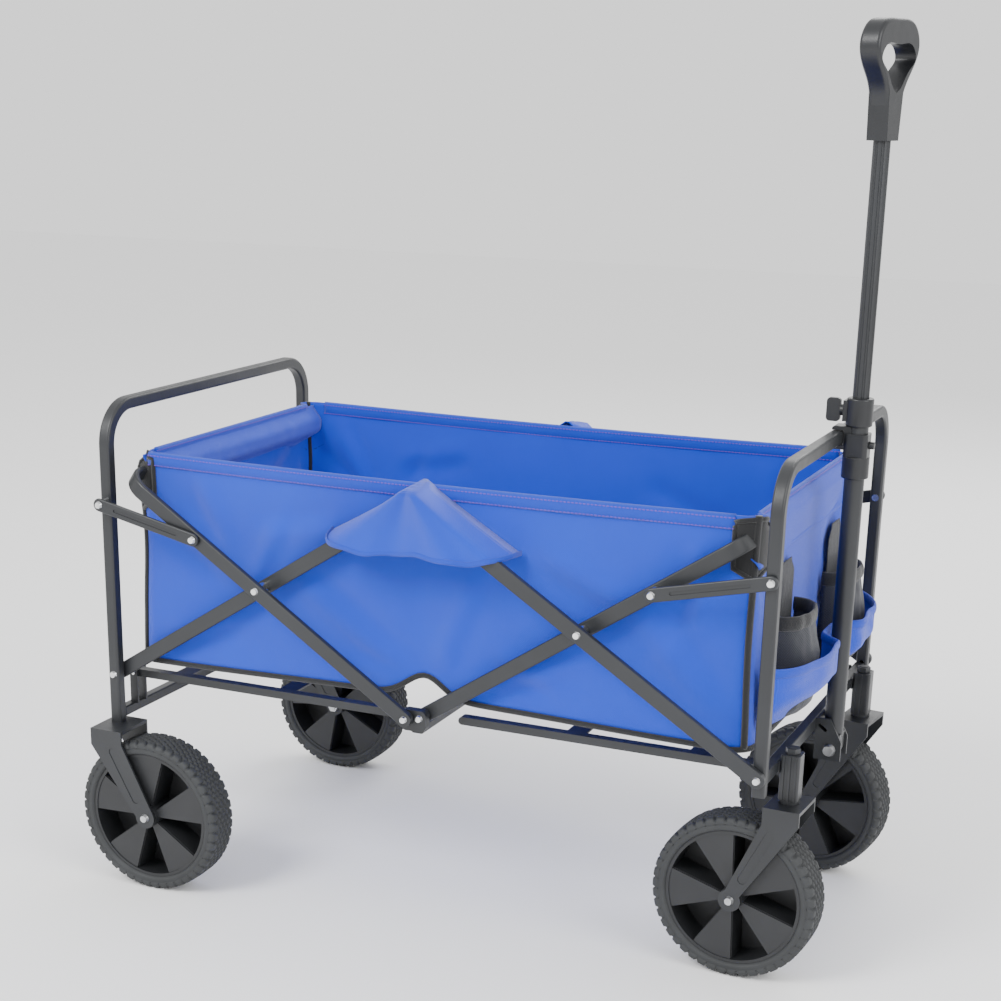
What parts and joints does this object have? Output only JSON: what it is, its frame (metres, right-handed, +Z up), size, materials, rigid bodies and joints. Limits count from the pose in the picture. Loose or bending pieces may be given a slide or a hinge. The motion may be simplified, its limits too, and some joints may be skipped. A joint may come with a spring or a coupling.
{
  "type": "folding beach cart",
  "caption": "Folding fabric utility wagon on large wheels, with swivelling front casters, scissor sides and a telescopic drawbar with a loop grip.",
  "frame": {"origin": "On the floor, below the middle of the overall length and width of the wagon.", "axes": "+X forward to the drawbar end, +Y left, +Z up."},
  "size_m": [0.8759, 0.5376, 0.9861],
  "materials": {
    "frame_coat": "satin",
    "bar_coat": "satin",
    "rivet_steel": "polished",
    "bolt_zinc": "brushed",
    "wheel_plastic": "matte",
    "tyre_rubber": "matte",
    "black_plastic": "satin",
    "blue_fabric": "woven",
    "black_mesh": "woven"
  },
  "bodies": {
    "rear_end": {"rear_frame": "frame_coat", "rear_cross_tube": "frame_coat", "rear_fork_right": "frame_coat", "rear_fork_left": "frame_coat", "rear_axle_bolts": "bolt_zinc", "rear_post_rivets": "rivet_steel", "rear_rail_pins": "rivet_steel"},
    "rising_bars": {"rear_rising_bar_right": "bar_coat", "rear_rising_bar_left": "bar_coat", "rear_crossing_rivets": "rivet_steel", "top_center_pins": "rivet_steel"},
    "rear_hoop": {"rear_hoop": "bar_coat"},
    "center_bracket": {"center_brackets": "bar_coat", "center_cross_tube": "frame_coat", "center_rivets": "rivet_steel"},
    "front_hoop": {"front_hoop": "bar_coat", "front_crossing_rivets": "rivet_steel"},
    "falling_bars": {"front_falling_bar_right": "bar_coat", "front_falling_bar_left": "bar_coat"},
    "front_end": {"front_frame": "frame_coat", "front_cross_tube": "frame_coat", "front_post_rivets": "rivet_steel", "front_rail_pins": "rivet_steel", "caster_housing_right": "frame_coat", "caster_housing_left": "frame_coat", "drawbar_bracket": "frame_coat", "drawbar_bolt": "bolt_zinc"},
    "rear_links": {"rear_link_right": "bar_coat", "rear_link_left": "bar_coat", "rear_link_rivets": "rivet_steel"},
    "front_links": {"front_link_right": "bar_coat", "front_link_left": "bar_coat", "front_link_rivets": "rivet_steel"},
    "rear_floor": {"rear_floor_rails": "bar_coat"},
    "front_floor": {"front_floor_rails": "bar_coat"},
    "basket": {"basket_body": "blue_fabric", "basket_rear_wall": "blue_fabric", "basket_front_wall": "blue_fabric", "front_pockets": "black_mesh"},
    "rear_wheel_right": {"rear_rim_right": "wheel_plastic", "rear_tyre_right": "tyre_rubber"},
    "caster_right": {"caster_fork_right": "frame_coat", "caster_kingpin_right": "bolt_zinc", "caster_axle_right": "bolt_zinc"},
    "front_wheel_right": {"front_rim_right": "wheel_plastic", "front_tyre_right": "tyre_rubber"},
    "rear_wheel_left": {"rear_rim_left": "wheel_plastic", "rear_tyre_left": "tyre_rubber"},
    "caster_left": {"caster_fork_left": "frame_coat", "caster_kingpin_left": "bolt_zinc", "caster_axle_left": "bolt_zinc"},
    "front_wheel_left": {"front_rim_left": "wheel_plastic", "front_tyre_left": "tyre_rubber"},
    "drawbar": {"drawbar_outer_tube": "frame_coat", "drawbar_lower_collar": "black_plastic", "drawbar_clamp": "black_plastic"},
    "pull_tube": {"drawbar_inner_tube": "frame_coat", "handle_grip": "black_plastic"},
    "clamp_knob": {"clamp_knob": "black_plastic"},
    "lock_button": {"lock_button": "black_plastic"}
  },
  "joints": [
    {"name": "frame_fold", "type": "hinge", "parent": "rear_end", "child": "rising_bars", "pos_m": [-0.402, 0, 0.253], "axis": [0, -1, 0], "range_deg": [0, 40], "deforming": ["basket_body", "basket_rear_wall", "basket_front_wall", "front_pockets"]},
    {"name": "rear_crossing", "type": "hinge", "parent": "rising_bars", "child": "rear_hoop", "pos_m": [-0.203, 0, 0.38], "axis": [0, -1, 0], "range_deg": [-80, 0]},
    {"name": "center_rear_pivot", "type": "hinge", "parent": "rear_hoop", "child": "center_bracket", "pos_m": [-0.019, 0, 0.258], "axis": [0, -1, 0], "range_deg": [0, 40]},
    {"name": "center_front_pivot", "type": "hinge", "parent": "center_bracket", "child": "front_hoop", "pos_m": [-0.005, 0, 0.258], "axis": [0, -1, 0], "range_deg": [0, 40]},
    {"name": "front_crossing", "type": "hinge", "parent": "front_hoop", "child": "falling_bars", "pos_m": [0.179, 0, 0.38], "axis": [0, -1, 0], "range_deg": [-80, 0]},
    {"name": "front_foot_pivot", "type": "hinge", "parent": "falling_bars", "child": "front_end", "pos_m": [0.378, 0, 0.253], "axis": [0, -1, 0], "range_deg": [0, 40]},
    {"name": "rear_link_pivot", "type": "hinge", "parent": "rear_end", "child": "rear_links", "pos_m": [-0.402, 0, 0.458], "axis": [0, -1, 0], "range_deg": [0, 80]},
    {"name": "front_link_pivot", "type": "hinge", "parent": "front_end", "child": "front_links", "pos_m": [0.378, 0, 0.458], "axis": [0, -1, 0], "range_deg": [-80, 0]},
    {"name": "rear_floor_pivot", "type": "hinge", "parent": "rear_end", "child": "rear_floor", "pos_m": [-0.398, 0, 0.246], "axis": [0, -1, 0], "range_deg": [0, 80]},
    {"name": "front_floor_pivot", "type": "hinge", "parent": "front_end", "child": "front_floor", "pos_m": [0.36, 0, 0.25], "axis": [0, -1, 0], "range_deg": [-80, 0]},
    {"name": "basket_lift", "type": "slide", "parent": "rear_end", "child": "basket", "axis": [0, 0, 1], "range_m": [0, 0.18]},
    {"name": "rear_wheel_spin_right", "type": "hinge", "parent": "rear_end", "child": "rear_wheel_right", "pos_m": [-0.346, -0.237, 0.092], "axis": [0, 1, 0], "continuous": true},
    {"name": "caster_swivel_right", "type": "hinge", "parent": "front_end", "child": "caster_right", "pos_m": [0.394, -0.162, 0.206], "axis": [0, 0, 1], "continuous": true},
    {"name": "front_wheel_spin_right", "type": "hinge", "parent": "caster_right", "child": "front_wheel_right", "pos_m": [0.34407, -0.15938, 0.092], "axis": [0.0523, 0.9986, 0], "continuous": true},
    {"name": "rear_wheel_spin_left", "type": "hinge", "parent": "rear_end", "child": "rear_wheel_left", "pos_m": [-0.346, 0.237, 0.092], "axis": [0, 1, 0], "continuous": true},
    {"name": "caster_swivel_left", "type": "hinge", "parent": "front_end", "child": "caster_left", "pos_m": [0.394, 0.162, 0.206], "axis": [0, 0, 1], "continuous": true},
    {"name": "front_wheel_spin_left", "type": "hinge", "parent": "caster_left", "child": "front_wheel_left", "pos_m": [0.34437, 0.16809, 0.092], "axis": [0.1219, 0.9925, 0], "continuous": true},
    {"name": "drawbar_swing", "type": "hinge", "parent": "front_end", "child": "drawbar", "pos_m": [0.399, 0, 0.218], "axis": [0, 1, 0], "range_deg": [0, 95]},
    {"name": "drawbar_telescope", "type": "slide", "parent": "drawbar", "child": "pull_tube", "axis": [0, 0, 1], "range_m": [-0.245, 0]},
    {"name": "clamp_knob_turn", "type": "hinge", "parent": "drawbar", "child": "clamp_knob", "pos_m": [0.374, 0, 0.5945], "axis": [1, 0, 0], "range_deg": [-180, 180]},
    {"name": "button_press", "type": "slide", "parent": "drawbar", "child": "lock_button", "axis": [-1, 0, 0], "range_m": [0, 0.0011], "stiffness_N_per_m": 300}
  ],
  "couplings": [
    {"joint": "rear_crossing", "follows": "frame_fold", "ratio": -2},
    {"joint": "center_rear_pivot", "follows": "frame_fold", "ratio": 1},
    {"joint": "center_front_pivot", "follows": "frame_fold", "ratio": 1},
    {"joint": "front_crossing", "follows": "frame_fold", "ratio": -2},
    {"joint": "front_foot_pivot", "follows": "frame_fold", "ratio": 1},
    {"joint": "rear_link_pivot", "follows": "frame_fold", "ratio": 2},
    {"joint": "front_link_pivot", "follows": "frame_fold", "ratio": -2},
    {"joint": "rear_floor_pivot", "follows": "frame_fold", "ratio": 2},
    {"joint": "front_floor_pivot", "follows": "frame_fold", "ratio": -2},
    {"joint": "basket_lift", "follows": "frame_fold", "m_per_rad": 0.25781}
  ]
}
